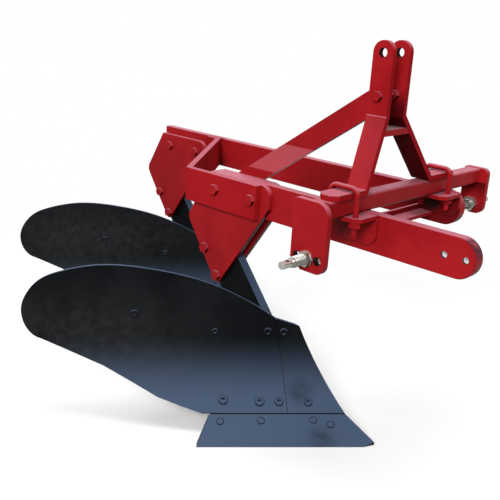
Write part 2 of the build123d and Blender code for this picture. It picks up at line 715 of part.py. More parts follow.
    with BuildPart() as frog:
        extrude(behind(across, FIT_GAP, FROG_TOP), amount=FROG_REACH, dir=along)
        inner = behind(across, FIT_GAP + FROG_T, 2 * FROG_TOP)
        extrude(inner, amount=FROG_REACH, dir=along, mode=Mode.SUBTRACT)
        with BuildSketch(ground_side(step_y - LAND_T / 2)):
            with Locations(((FROG_X[0] + FROG_X[1]) / 2 + step_x, (FROG_LOW + LAND_H) / 2)):
                Rectangle(FROG_X[1] - FROG_X[0], LAND_H - FROG_LOW)
        extrude(amount=FROG_WALL)
        with BuildSketch(ground_side(leg_right_y)):
            with Locations(((FROG_X[0] + LEG_TOE[0]) / 2 + step_x, (FROG_LAP + LAND_H - FROG_JOIN) / 2)):
                Rectangle(LEG_TOE[0] - FROG_X[0], FROG_LAP - LAND_H + FROG_JOIN)
        extrude(amount=FROG_T)
        split(bisect_by=ground_side(step_y - LAND_T / 2), keep=Keep.TOP)
        add(room.part, mode=Mode.INTERSECT)
        with BuildSketch(ground_side(leg_right_y)):
            with Locations(*[(x + step_x, z) for x, z in FROG_BOLTS]):
                Circle(HOLE_D / 2)
        extrude(amount=2 * FROG_T, mode=Mode.SUBTRACT)
    frog.part.label = "frog_" + body
    export_step(frog.part, "parts/frog_" + body + ".step")

    with BuildPart() as frog_bolts:
        for x, z in FROG_BOLTS:
            add(hex_bolt(ground_side, x + step_x, z, leg_right_y - FROG_T, beam_y + BEAM_T / 2))
    frog_bolts.part.label = "frog_bolts_" + body
    export_step(frog_bolts.part, "parts/frog_bolts_" + body + ".step")

    with BuildPart() as landside:
        with Locations(((LAND_X[0] + LAND_X[1]) / 2 + step_x, step_y, LAND_H / 2)):
            Box(LAND_X[1] - LAND_X[0], LAND_T, LAND_H)
        add(room.part, mode=Mode.INTERSECT)
    landside.part.label = "landside_" + body
    export_step(landside.part, "parts/landside_" + body + ".step")

    stay_start = Vector(STAY_FROM[0] + step_x, leg_right_y, STAY_FROM[1])
    stay_run = centre_run + math.sqrt((BOARD_R + BOARD_T) ** 2 - (centre_z - STAY_TO[1]) ** 2)
    stay_end = point_at + along * STAY_TO[0] + back * stay_run + Vector(0, 0, STAY_TO[1])
    stay_way = (stay_end - stay_start).normalized()
    with BuildPart() as stay:
        with BuildSketch(Plane(origin=stay_start - stay_way * STAY_D, z_dir=stay_way)):
            Circle(STAY_D / 2)
        extrude(amount=(stay_end - stay_start).length + 2 * STAY_D)
        add(room.part, mode=Mode.INTERSECT)
        split(bisect_by=Plane(origin=stay_start, z_dir=(0, -1, 0)), keep=Keep.TOP)
    stay.part.label = "stay_" + body
    export_step(stay.part, "parts/stay_" + body + ".step")

    with BuildPart() as shell:
        with BuildSketch(across):
            with Locations((centre_run, centre_z)):
                Circle(BOARD_R + BOARD_T)
                Circle(BOARD_R, mode=Mode.SUBTRACT)
        extrude(amount=-2 * room_len)

    with BuildPart() as mouldboard:
        with BuildSketch(elevation):
            with BuildLine():
                Spline(*BOARD_TOP)
                Polyline((SEAM_HIGH, SEAM_TOP), (SEAM_LOW, SHARE_RISE), *reversed(BOARD_LOW))
            make_face()
        extrude(amount=room_len)
        add(shell.part, mode=Mode.INTERSECT)
        split(bisect_by=land_cut, keep=Keep.TOP)
    mouldboard.part.label = "mouldboard_" + body
    export_step(mouldboard.part, "parts/mouldboard_" + body + ".step")

    with BuildPart() as shin:
        with BuildSketch(elevation):
            with BuildLine():
                Polyline(
                    (0, SHARE_RISE),
                    (SEAM_LOW - SEAM_GAP, SHARE_RISE),
                    (SEAM_HIGH - SEAM_GAP, SEAM_TOP),
                    SHIN_TOP,
                    (0, SHIN_TOP[1]),
                    close=True,
                )
            make_face()
        extrude(amount=room_len)
        add(shell.part, mode=Mode.INTERSECT)
        split(bisect_by=land_cut, keep=Keep.TOP)
    shin.part.label = "shin_" + body
    export_step(shin.part, "parts/shin_" + body + ".step")
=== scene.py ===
import json
import math
import bpy
from mathutils import Matrix, Vector


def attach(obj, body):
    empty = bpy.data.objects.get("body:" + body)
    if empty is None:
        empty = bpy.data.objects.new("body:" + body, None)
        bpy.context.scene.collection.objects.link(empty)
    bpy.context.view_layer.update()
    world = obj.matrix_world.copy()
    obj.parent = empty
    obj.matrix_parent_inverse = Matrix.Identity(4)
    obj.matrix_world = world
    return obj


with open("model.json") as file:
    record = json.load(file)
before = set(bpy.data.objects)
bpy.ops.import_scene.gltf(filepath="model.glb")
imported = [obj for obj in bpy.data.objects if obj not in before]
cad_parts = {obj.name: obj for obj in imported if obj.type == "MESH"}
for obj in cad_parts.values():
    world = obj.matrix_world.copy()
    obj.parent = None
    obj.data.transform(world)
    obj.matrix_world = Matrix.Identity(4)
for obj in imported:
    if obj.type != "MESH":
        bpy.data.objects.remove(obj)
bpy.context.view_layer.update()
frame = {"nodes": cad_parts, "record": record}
nodes = frame["nodes"]

# All lengths are in metres. The plough's frame is pitched nose down over the bodies, and its
# points are given ahead, across and up along its own directions.

PITCH = math.radians(2.59)
PIVOT_AHEAD = 0.301
AHEAD = Vector((math.cos(PITCH), 0, -math.sin(PITCH)))
ACROSS = Vector((0, 1, 0))
UPWARD = Vector((math.sin(PITCH), 0, math.cos(PITCH)))
SKYWARD = Vector((0, 0, 1))
FLOOR_ZERO = Vector((0, 0, 0))
FRAME_ZERO = Vector((PIVOT_AHEAD, 0, 0)) - AHEAD * PIVOT_AHEAD


def frame_point(x, y, z):
    """A point of the frame, from its places ahead, across and up."""
    return FRAME_ZERO + AHEAD * x + ACROSS * y + UPWARD * z


# shader parts

def principled(name):
    """A new material with its node tree and its Principled shader."""
    material = bpy.data.materials.new(name)
    material.use_nodes = True
    tree = material.node_tree
    return material, tree, tree.nodes["Principled BSDF"]


def add_math(tree, operation, first, second):
    """The result of a maths node; first is a socket, second a socket or a number."""
    node = tree.nodes.new("ShaderNodeMath")
    node.operation = operation
    tree.links.new(first, node.inputs[0])
    if isinstance(second, float):
        node.inputs[1].default_value = second
    else:
        tree.links.new(second, node.inputs[1])
    return node.outputs[0]


def add_vector_math(tree, operation, first, second):
    """A vector maths node; first is a socket, second a vector."""
    node = tree.nodes.new("ShaderNodeVectorMath")
    node.operation = operation
    tree.links.new(first, node.inputs[0])
    node.inputs[1].default_value = second
    return node


def add_range(tree, value, low, high, to_low, to_high):
    """A smooth step from to_low to to_high as the value goes from low to high."""
    node = tree.nodes.new("ShaderNodeMapRange")
    node.interpolation_type = "SMOOTHSTEP"
    tree.links.new(value, node.inputs["Value"])
    node.inputs["From Min"].default_value = low
    node.inputs["From Max"].default_value = high
    node.inputs["To Min"].default_value = to_low
    node.inputs["To Max"].default_value = to_high
    return node.outputs["Result"]


def add_mix(tree, factor, first, second):
    """A colour mix; each colour is a socket or a tuple."""
    node = tree.nodes.new("ShaderNodeMix")
    node.data_type = "RGBA"
    tree.links.new(factor, node.inputs["Factor"])
    for key, colour in (("A", first), ("B", second)):
        if isinstance(colour, tuple):
            node.inputs[key].default_value = (*colour, 1)
        else:
            tree.links.new(colour, node.inputs[key])
    return node.outputs["Result"]


def add_shader_mix(tree, factor, first, second):
    node = tree.nodes.new("ShaderNodeMixShader")
    for index, socket in enumerate((factor, first, second)):
        tree.links.new(socket, node.inputs[index])
    return node.outputs[0]


def add_place(tree, output="Object"):
    """The place being shaded, or with "Normal" its surface's direction."""
    return tree.nodes.new("ShaderNodeTexCoord").outputs[output]


def add_distance(tree, centre):
    """The place's distance from a point."""
    return add_vector_math(tree, "DISTANCE", add_place(tree), centre).outputs["Value"]


def add_along(tree, direction, zero=FRAME_ZERO):
    """The place's distance along a direction, from a point."""
    gap = add_vector_math(tree, "SUBTRACT", add_place(tree), zero)
    return add_vector_math(tree, "DOT_PRODUCT", gap.outputs[0], direction).outputs["Value"]


def add_away(tree, centre, directions=(AHEAD, UPWARD)):
    """The place's distance from the line through the centre that is square to two directions."""
    squares = []
    for direction in directions:
        reach = add_along(tree, direction, centre)
        squares.append(add_math(tree, "MULTIPLY", reach, reach))
    return add_math(tree, "SQRT", add_math(tree, "ADD", *squares), 0.0)


def add_facing(tree, low, high, axis="Z"):
    """0 to 1 as the surface's direction along an axis turns from low to high."""
    parts = tree.nodes.new("ShaderNodeSeparateXYZ")
    tree.links.new(add_place(tree, "Normal"), parts.inputs[0])
    return add_range(tree, parts.outputs[axis], low, high, 0, 1)


def add_band(tree, value, low, high, soft):
    """1 between two values and 0 beyond them."""
    rise = add_range(tree, value, low - soft, low + soft, 0, 1)
    fall = add_range(tree, value, high - soft, high + soft, 1, 0)
    return add_math(tree, "MULTIPLY", rise, fall)


def add_noise(tree, scale, detail, rough):
    noise = tree.nodes.new("ShaderNodeTexNoise")
    noise.inputs["Scale"].default_value = scale
    noise.inputs["Detail"].default_value = detail
    noise.inputs["Roughness"].default_value = rough
    tree.links.new(add_place(tree), noise.inputs["Vector"])
    return noise.outputs["Fac"]


def add_seen(tree):
    """1 for the rays that show the background: camera, glossy and transmission."""
    path = tree.nodes.new("ShaderNodeLightPath")
    seen = add_math(tree, "MAXIMUM", path.outputs["Is Camera Ray"], path.outputs["Is Glossy Ray"])
    return add_math(tree, "MAXIMUM", seen, path.outputs["Is Transmission Ray"])


# the camera, the floor, the world and the lamps

CAMERA_AT = Vector((1.1791, -1.3517, 0.9289))
CAMERA_RIGHT = Vector((0.71482, 0.69893, 0.02324))
CAMERA_UP = Vector((-0.21423, 0.18722, 0.95867))
CAMERA_LENS = 55.07
CAMERA_SHIFT = (0.0092, 0.0053)

FLOOR_SIZE = 60.0
FLOOR_COLOUR = (0.915, 0.905, 0.885)
FLOOR_BOUNCE = (0.3, 0.29, 0.28)
FLOOR_ROUGHNESS = 0.9
FLOOR_MIDDLE = Vector((-0.3, 0, 0))
FLOOR_FADE = (0.7, 1.7)

DOME_COLOUR = (0.86, 0.92, 1.0)
DOME_STRENGTH = 0.42
WHITE = (1.0, 1.0, 1.0)
WHITE_STRENGTH = 1.0

LAMP_AIM = Vector((-0.1, 0, 0.4))
# name, place, diameter, watts and colour
LAMPS = (
    ("key", Vector((2.4, -4.4, 3.0)), 2.2, 245, (1, 0.98, 0.96)),
    ("rim", Vector((-3.0, 1.0, 2.6)), 2.6, 40, (0.93, 0.96, 1)),
    ("top", Vector((-0.2, 0.3, 3.8)), 2.4, 80, (1, 1, 1)),
)


def add_object(name, data):
    thing = bpy.data.objects.new(name, data)
    bpy.context.scene.collection.objects.link(thing)
    return thing


def add_camera():
    data = bpy.data.cameras.new("camera")
    data.lens = CAMERA_LENS
    data.shift_x, data.shift_y = CAMERA_SHIFT
    camera = add_object("camera", data)
    right = CAMERA_RIGHT.normalized()
    back = right.cross(CAMERA_UP).normalized()
    up = back.cross(right)
    turn = Matrix((right, up, back)).transposed().to_4x4()
    camera.matrix_world = Matrix.Translation(CAMERA_AT) @ turn
    bpy.context.scene.camera = camera


def add_floor():
    """A pale floor that turns white away from the plough and bounces less light than it shows."""
    mesh = bpy.data.meshes.new("floor")
    half = FLOOR_SIZE / 2
    corners = [(-half, -half, 0), (half, -half, 0), (half, half, 0), (-half, half, 0)]
    mesh.from_pydata(corners, [], [(0, 1, 2, 3)])
    floor = add_object("floor", mesh)
    material, tree, shader = principled("floor")
    seen = add_seen(tree)
    tree.links.new(add_mix(tree, seen, FLOOR_BOUNCE, FLOOR_COLOUR), shader.inputs["Base Color"])
    shader.inputs["Roughness"].default_value = FLOOR_ROUGHNESS
    shader.inputs["Specular IOR Level"].default_value = 0.0
    far = add_range(tree, add_distance(tree, FLOOR_MIDDLE), *FLOOR_FADE, 0, 1)
    factor = add_math(tree, "MULTIPLY", far, seen)
    white = tree.nodes.new("ShaderNodeEmission")
    mixed = add_shader_mix(tree, factor, shader.outputs[0], white.outputs[0])
    tree.links.new(mixed, tree.nodes["Material Output"].inputs[0])
    mesh.materials.append(material)


def add_background(tree, colour, strength):
    node = tree.nodes.new("ShaderNodeBackground")
    node.inputs["Color"].default_value = (*colour, 1)
    node.inputs["Strength"].default_value = strength
    return node.outputs[0]


def add_world():
    """A soft bluish dome for the light, and white where it is seen."""
    world = bpy.data.worlds.new("studio")
    bpy.context.scene.world = world
    world.use_nodes = True
    tree = world.node_tree
    tree.nodes.clear()
    dome = add_background(tree, DOME_COLOUR, DOME_STRENGTH)
    white = add_background(tree, WHITE, WHITE_STRENGTH)
    out = tree.nodes.new("ShaderNodeOutputWorld")
    tree.links.new(add_shader_mix(tree, add_seen(tree), dome, white), out.inputs[0])


def add_lamp(name, at, size, watts, colour):
    data = bpy.data.lights.new(name, "AREA")
    data.shape = "DISK"
    data.size = size
    data.energy = watts
    data.color = colour
    lamp = add_object(name, data)
    lamp.location = at
    lamp.rotation_euler = (LAMP_AIM - at).to_track_quat("-Z", "Y").to_euler()


add_camera()
add_floor()
add_world()
for lamp in LAMPS:
    add_lamp(*lamp)


# paint; a noise is its scale, detail and roughness, and a pair of lengths below is where a mark
# starts to change and where it has changed

CLOUDS = (6.0, 4.0, 0.6)
GRAIN = (45.0, 3.0, 0.6)
PEEL = (160.0, 2.0, 0.5)
PEEL_STRENGTH = 0.2
PEEL_DEPTH = 0.0005


def paint(name, dark, light, sky_sheen, sky_sheen_facing, rough, specular, metallic=0.0):
    """Clouding from dark to light, a painted sky reflection where it faces up, fine grain and
    orange peel.
    """
    material, tree, shader = principled(name)
    clouds = add_range(tree, add_noise(tree, *CLOUDS), 0.35, 0.65, 0, 1)
    colour = add_mix(tree, clouds, dark, light)
    colour = add_mix(tree, add_facing(tree, *sky_sheen_facing), colour, sky_sheen)
    tree.links.new(colour, shader.inputs["Base Color"])
    grain = add_range(tree, add_noise(tree, *GRAIN), 0.3, 0.7, *rough)
    tree.links.new(grain, shader.inputs["Roughness"])
    shader.inputs["Specular IOR Level"].default_value = specular
    shader.inputs["Metallic"].default_value = metallic
    bump = tree.nodes.new("ShaderNodeBump")
    bump.inputs["Strength"].default_value = PEEL_STRENGTH
    bump.inputs["Distance"].default_value = PEEL_DEPTH
    tree.links.new(add_noise(tree, *PEEL), bump.inputs["Height"])
    tree.links.new(bump.outputs["Normal"], shader.inputs["Normal"])
    return material


def recolour(material, colour, factor, *others):
    """Lays a colour over the material's own as far as the factors, multiplied, allow."""
    tree = material.node_tree
    for other in others:
        factor = add_math(tree, "MULTIPLY", factor, other)
    base = tree.nodes["Principled BSDF"].inputs["Base Color"]
    tree.links.new(add_mix(tree, factor, base.links[0].from_socket, colour), base)


def add_disc(tree, centre, edge, strength=1, directions=(AHEAD, UPWARD)):
    """The strength near a line through the centre, and 0 beyond the edge's outer radius."""
    return add_range(tree, add_away(tree, centre, directions), *edge, strength, 0)


def add_patches(tree, noise, low, high, least, most=1):
    """Uneven patches from the least strength to the most."""
    return add_range(tree, add_noise(tree, *noise), low, high, least, most)


# black paint of the bodies, with a painted bluish sky reflection where it turns up

BLACK_LOOK = {
    "dark": (0.0022, 0.0026, 0.0036), "light": (0.0055, 0.0062, 0.0075),
    "sky_sheen": (0.055, 0.082, 0.134), "sky_sheen_facing": (0.43, 0.62),
    "rough": (0.3, 0.42), "specular": 0.02,
}
SHARE_SEAM = (0.0452, 0.0472)
SHARE_SEAM_SOFT = 0.0004
SHARE_SEAM_SHADE = (0.004, 0.004, 0.005)
BLUISH_SPOTS = (Vector((0.212, -0.079, 0.010)), Vector((0.117, -0.051, 0.088)))
BLUISH_SPOT_REACH = (0.008, 0.045)
BLUISH_SPOT_PATCHES = (60.0, 4.0, 0.6)
BLUISH_SPOT_COLOUR = (0.026, 0.036, 0.055)


def body_black():
    """The seam over the share is a line of painted shade, and two bluish patches lie on the front
    body.
    """
    material = paint("black_paint", **BLACK_LOOK)
    tree = material.node_tree
    height = add_along(tree, SKYWARD, FLOOR_ZERO)
    recolour(material, SHARE_SEAM_SHADE, add_band(tree, height, *SHARE_SEAM, SHARE_SEAM_SOFT))
    for spot in BLUISH_SPOTS:
        near = add_range(tree, add_distance(tree, spot), *BLUISH_SPOT_REACH, 0.75, 0)
        recolour(material, BLUISH_SPOT_COLOUR, near, add_patches(tree, BLUISH_SPOT_PATCHES, 0.35, 0.6, 0.5))
    return material


# painted shade for gaps and grooves

GAP_SHADE_LOOK = {
    "dark": (0.003, 0.003, 0.004), "light": (0.006, 0.006, 0.007),
    "sky_sheen": (0.008, 0.008, 0.01), "sky_sheen_facing": (0.6, 0.95),
    "rough": (0.6, 0.8), "specular": 0.02,
}

# red paint of the frame, with a painted sky reflection where it faces up and painted shade where
# it faces down

RED_LOOK = {
    "dark": (0.30, 0.008, 0.011), "light": (0.39, 0.012, 0.016),
    "sky_sheen": (0.41, 0.115, 0.15), "sky_sheen_facing": (0.1, 1.0),
    "rough": (0.34, 0.46), "specular": 0.05,
}
SHADE_RED = (0.055, 0.002, 0.003)
FACES_RIGHT = (-0.8, -0.95, "Y")


def frame_red(name, **changes):
    """The frame's red, with painted shade where it faces down, and changes to its look."""
    material = paint(name, **{**RED_LOOK, **changes})
    recolour(material, SHADE_RED, add_facing(material.node_tree, -0.2, -0.6))
    return material


# duller, because the tie's inner side is seen at a low angle
TIE_GLOSS = {"rough": (0.75, 0.9), "specular": 0.01}

STRAP_GLOSS = {"rough": (0.6, 0.8), "specular": 0.02}
STRAP_FOLDS = (0.6025, 0.752)
FOLD_BELOW = 0.0012
FOLD_ABOVE = 0.0006
FOLD_SOFT = 0.0008
FOLD_HIGHLIGHT = (0.52, 0.16, 0.19)
RIGHT_STRAP_END = (0.008, 0.010)
LEFT_STRAP_START = (0.050, 0.060)
STRAP_SHADE = (0.760, 0.815)
MAST_HOLE = frame_point(0.211, 0, 0.881)
MAST_HOLE_EDGE = (0.0099, 0.0107)
MAST_HOLE_SHADE = (0.03, 0.008, 0.008)


def strap_red():
    """Painted highlights on the folds outside the right strap; painted shade inside the left one,
    below.
    """
    material = frame_red("strap_red", **STRAP_GLOSS)
    tree = material.node_tree
    rise = add_along(tree, UPWARD)
    across = add_along(tree, ACROSS)
    right = add_range(tree, across, *RIGHT_STRAP_END, 1, 0)
    outside = add_facing(tree, -0.4, -0.6, "Y")
    for level in STRAP_FOLDS:
        fold = add_band(tree, rise, level - FOLD_BELOW, level + FOLD_ABOVE, FOLD_SOFT)
        recolour(material, FOLD_HIGHLIGHT, fold, right, outside)
    inside = add_facing(tree, -0.5, -0.8, "Y")
    left = add_range(tree, across, *LEFT_STRAP_START, 0, 1)
    shade = add_range(tree, rise, *STRAP_SHADE, 0.92, 0)
    recolour(material, SHADE_RED, inside, left, shade)
    # painted shade inside the mast hole
    recolour(material, MAST_HOLE_SHADE, add_disc(tree, MAST_HOLE, MAST_HOLE_EDGE))
    return material


DUST_PATCHES = (70.0, 4.0, 0.6)
DUST_GREY = (0.24, 0.18, 0.165)


def dusty_red():
    """Dust lies on the mast's tie plate."""
    material = frame_red("dusty_red")
    tree = material.node_tree
    dust = add_patches(tree, DUST_PATCHES, 0.4, 0.6, 0.35, 0.9)
    recolour(material, DUST_GREY, dust, add_facing(tree, 0.7, 0.9))
    return material


BRACE_SLOPE = (0.574, 0.648)
BRACE_SOFT = 0.001
BRACE_LIGHT = (0.6, 0.16, 0.2)


def brace_red():
    """The brace has painted light between its folds, where it leans to the light."""
    material = frame_red("brace_red")
    tree = material.node_tree
    slope = add_band(tree, add_along(tree, UPWARD), *BRACE_SLOPE, BRACE_SOFT)
    recolour(material, BRACE_LIGHT, slope, 0.4)
    return material


RIGHT_U_BOLT_END = frame_point(0.180, -0.026, 0.505)
U_BOLT_SHADOW_REACH = (0.012, 0.045)
U_BOLT_SHADOW_PATCHES = (40.0, 3.0, 0.6)
U_BOLT_SHADOW = (0.02, 0.011, 0.009)


def add_u_bolt_shadow(material):
    """Painted shadow around the end of the right U-bolt, on the faces turned outward."""
    tree = material.node_tree
    blot = add_disc(tree, RIGHT_U_BOLT_END, U_BOLT_SHADOW_REACH, 0.92)
    patches = add_patches(tree, U_BOLT_SHADOW_PATCHES, 0.35, 0.6, 0.45)
    recolour(material, U_BOLT_SHADOW, blot, add_facing(tree, *FACES_RIGHT), patches)


def pad_red():
    material = frame_red("pad_red")
    # painted shadow at the end of the right U-bolt
    add_u_bolt_shadow(material)
    return material


NOSE = frame_point(0.455, -0.013, 0.509)
NOSE_R = 0.043
CHIP_EDGE = (NOSE_R - 0.0035, NOSE_R - 0.002)
CHIP_RAGGED = 0.003
CHIP_START = (0.004, 0.022)
CHIP_OUTLINE = (90.0, 4.0, 0.7)
CHIP_PATCHES = (32.0, 3.0, 0.6)
CHIP_RED = (0.1, 0.016, 0.026)
NOSE_HOLES = (frame_point(0.426, -0.013, 0.509), frame_point(0.474, -0.013, 0.509))
NOSE_HOLE_EDGE = (0.0071, 0.0074)
NOSE_HOLE_DEEP = (-0.0205, -0.0185)
NOSE_HOLE_SHADE = (0.05, 0.03, 0.04)
THROUGH_LIGHT = (0.95, 0.95, 0.95)


def nose_red():
    """Right beam: paint worn off round its nose, painted shade and light in its two holes,
    painted shadow.
    """
    material = frame_red("nose_red")
    tree = material.node_tree
    ragged = add_patches(tree, CHIP_OUTLINE, 0.3, 0.7, -CHIP_RAGGED, CHIP_RAGGED)
    away = add_math(tree, "ADD", add_away(tree, NOSE), ragged)
    edge = add_range(tree, away, *CHIP_EDGE, 0, 1)
    forward = add_range(tree, add_along(tree, AHEAD, NOSE), *CHIP_START, 0, 1)
    patches = add_patches(tree, CHIP_PATCHES, 0.42, 0.54, 0.15)
    recolour(material, CHIP_RED, edge, forward, patches)
    # painted shade at the mouth of each hole, and painted white deeper in for the light seen
    # through it
    deep = add_range(tree, add_along(tree, ACROSS), *NOSE_HOLE_DEEP, 0, 1)
    for hole in NOSE_HOLES:
        bore = add_disc(tree, hole, NOSE_HOLE_EDGE)
        recolour(material, NOSE_HOLE_SHADE, bore)
        recolour(material, THROUGH_LIGHT, bore, deep)
    add_u_bolt_shadow(material)
    return material


CORNER_SLANT = AHEAD + UPWARD * 0.65
CORNER_SHADE = (-0.275, -0.225)
CORNER_START = (-0.605, -0.595)
CORNER_SHADOW = (0.02, 0.011, 0.011)
FRONT_SHADE = (0.05, 0.16)
LEFT_CLAMP = frame_point(0.190, 0.311, 0.519)
LEFT_CLAMP_REACH = (0.012, 0.036)
LEFT_CLAMP_SHADOW = (0.018, 0.012, 0.01)


def corner_red():
    """The left beam and its pad: painted shadow at the cross tie and at the clamp, painted shade
    in front.
    """
    material = frame_red("corner_red")
    tree = material.node_tree
    inward = add_facing(tree, *FACES_RIGHT)
    shade = add_range(tree, add_along(tree, CORNER_SLANT), *CORNER_SHADE, 0.9, 0)
    ahead = add_along(tree, AHEAD)
    start = add_range(tree, ahead, *CORNER_START, 0, 1)
    recolour(material, CORNER_SHADOW, shade, start, inward)
    front = add_range(tree, ahead, *FRONT_SHADE, 0, 0.7)
    recolour(material, SHADE_RED, front, inward)
    blot = add_disc(tree, LEFT_CLAMP, LEFT_CLAMP_REACH, 0.9)
    recolour(material, LEFT_CLAMP_SHADOW, blot, inward)
    return material


TUBE_SHADE = (0.510, 0.552)
TUBE_SHADE_TOP = (0.553, 0.555)


def shade_red():
    """The left hitch plate's inner side is in the shade of the tube."""
    material = frame_red("shade_red")
    tree = material.node_tree
    rise = add_along(tree, UPWARD)
    shade = add_range(tree, rise, *TUBE_SHADE, 0.3, 0.85)
    under = add_range(tree, rise, *TUBE_SHADE_TOP, 1, 0)
    recolour(material, SHADE_RED, shade, under, add_facing(tree, *FACES_RIGHT))
    return material


SPARE_HOLES = (frame_point(0.1704, -0.174, 0.468), frame_point(0.2248, -0.174, 0.468))
SPARE_HOLE_EDGE = (0.0096, 0.0102)
SPARE_HOLE_SHADE = (0.02, 0.006, 0.006)


def hole_red():
    """The right hitch plate's spare holes have painted shade inside."""
    material = frame_red("hole_red")
    for hole in SPARE_HOLES:
        bore = add_disc(material.node_tree, hole, SPARE_HOLE_EDGE)
        recolour(material, SPARE_HOLE_SHADE, bore)
    return material


# zinc of the hitch pins, with a painted highlight where it faces up

ZINC_LOOK = {
    "dark": (0.3, 0.3, 0.27), "light": (0.5, 0.5, 0.46),
    "sky_sheen": (0.85, 0.86, 0.82), "sky_sheen_facing": (0.3, 0.95),
    "rough": (0.22, 0.42), "specular": 0.5, "metallic": 0.85,
}
ZINC_SHADE_BELOW = (0.09, 0.09, 0.075)
LINCH_HOLES = (frame_point(0.1976, -0.237, 0.480), frame_point(0.215, 0.542, 0.480))
LINCH_HOLE_EDGE = (0.0048, 0.0056)
LINCH_HOLE_SHADE = (0.01, 0.01, 0.01)
LEFT_PIN_END = frame_point(0.215, 0.470, 0.496)
LEFT_PIN_START = (0.400, 0.410)
PIN_GROOVES = ((0.0035, 0.0055), (0.0085, 0.0112), (0.0128, 0.0142))
PIN_GROOVE_SOFT = 0.0005
PIN_GROOVE_SHADE = (0.03, 0.04, 0.04)


def pin_zinc():
    """Painted shade underneath, in the linch-pin holes and in rings on the left pin's inner end.
    """
    material = paint("pin_zinc", **ZINC_LOOK)
    tree = material.node_tree
    recolour(material, ZINC_SHADE_BELOW, add_facing(tree, -0.1, -0.7))
    for hole in LINCH_HOLES:
        bore = add_disc(tree, hole, LINCH_HOLE_EDGE, directions=(AHEAD, ACROSS))
        recolour(material, LINCH_HOLE_SHADE, bore, add_facing(tree, 0.2, 0.3))
    away = add_away(tree, LEFT_PIN_END)
    inward = add_facing(tree, -0.7, -0.9, "Y")
    left = add_range(tree, add_along(tree, ACROSS), *LEFT_PIN_START, 0, 1)
    for groove in PIN_GROOVES:
        ring = add_band(tree, away, *groove, PIN_GROOVE_SOFT)
        recolour(material, PIN_GROOVE_SHADE, ring, inward, left)
    return material


red = frame_red("red_paint")
black = body_black()
zinc = pin_zinc()
gap_shade = paint("dark_gap", **GAP_SHADE_LOOK)
strap = strap_red()
corner = corner_red()
finish = {"red_paint": red, "black_paint": black, "zinc_steel": zinc}
# nodes with a paint of their own
own = {
    "beam_right": nose_red(), "beam_left": corner,
    "cross_tie": frame_red("tie_red", **TIE_GLOSS),
    "clamp_pad_right": pad_red(), "clamp_pad_left": corner,
    "hitch_plate_right": hole_red(), "hitch_plate_left": shade_red(),
    "mast_strap_right": strap, "mast_strap_left": strap,
    "mast_tie_plate": dusty_red(), "mast_brace": brace_red(),
}
for part in frame["record"]["subparts"]:
    mesh = nodes[part["node"]].data
    for index in range(len(mesh.materials)):
        mesh.materials[index] = own.get(part["node"], finish[part["material_slot"]])


# small pieces; a shape is a list of points, one of faces and one of the faces' material slots

def add_piece(name, shape, materials):
    """A piece from a shape, riding the root."""
    points, faces, slots = shape
    mesh = bpy.data.meshes.new(name)
    mesh.from_pydata(points, [], faces)
    for material in materials:
        mesh.materials.append(material)
    mesh.polygons.foreach_set("material_index", slots)
    mesh.shade_smooth()
    piece = add_object(name, mesh)
    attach(piece, "root")


def add_ring(shape, centre, side, other, radius, sides):
    """A circle of points in the plane of two directions."""
    points = shape[0]
    for step in range(sides):
        angle = 2 * math.pi * step / sides
        spoke = side * math.cos(angle) + other * math.sin(angle)
        points.append(centre + spoke * radius)


def add_skin(shape, start, rings, sides, slot=0):
    """Faces between rings of points that follow one another from a start."""
    faces, slots = shape[1:]
    for ring in range(rings - 1):
        low = start + ring * sides
        for step in range(sides):
            after = (step + 1) % sides
            faces.append((low + step, low + after, low + sides + after, low + sides + step))
            slots.append(slot)


def add_turned(shape, at, axis, profile, sides, slot=0):
    """Turns a profile of (radius, rise) pairs about an axis."""
    side = axis.orthogonal().normalized()
    other = axis.cross(side)
    start = len(shape[0])
    for radius, rise in profile:
        add_ring(shape, at + axis * rise, side, other, radius, sides)
    add_skin(shape, start, len(profile), sides, slot)


# the bodies' share and mouldboard

POINT = Vector((0.3164, 0.006, 0))
BODY_STEPS = (Vector((0, 0, 0)), Vector((-0.5986, 0.343, 0)))
SHARE_TURN = math.radians(46.66)
ALONG = Vector((-math.cos(SHARE_TURN), -math.sin(SHARE_TURN), 0))
BACK = Vector((-math.sin(SHARE_TURN), math.cos(SHARE_TURN), 0))
SHARE_RUN = 0.0745
SHARE_RISE = 0.046
BOARD_R = 0.75
BOARD_SLOPE = math.radians(50)


def body_place(s, z):
    """Place and outward direction on the share or mouldboard, s along the edge and z up."""
    if z < SHARE_RISE:
        slope = math.atan2(SHARE_RISE, SHARE_RUN)
        run = SHARE_RUN * z / SHARE_RISE
    else:
        centre_run = SHARE_RUN - BOARD_R * math.sin(BOARD_SLOPE)
        centre_z = SHARE_RISE + BOARD_R * math.cos(BOARD_SLOPE)
        slope = math.acos((centre_z - z) / BOARD_R)
        run = centre_run + BOARD_R * math.sin(slope)
    outward = Vector((0, 0, math.cos(slope))) - BACK * math.sin(slope)
    return POINT + ALONG * s + BACK * run + Vector((0, 0, z)), outward


# plough bolts, nearly flush in the share, shin and mouldboard: s, z and the head's radius
PLOUGH_BOLTS = (
    (0.369, 0.035, 0.009), (0.273, 0.036, 0.009), (0.148, 0.037, 0.009), (0.108, 0.031, 0.009),
    (0.253, 0.212, 0.0115), (0.214, 0.211, 0.0115), (0.383, 0.212, 0.009),
    (0.362, 0.071, 0.0115), (0.275, 0.068, 0.0115),
    (0.228, 0.068, 0.011), (0.158, 0.067, 0.010), (0.581, 0.251, 0.011),
)
BOLT_SIDES = 28
BOLT_HIGH = 0.0006
UPPER_BOLT_HIGH = 0.0003
UPPER_BOLT_Z = 0.180
SHARE_BOLT_LIFT = 0.0006


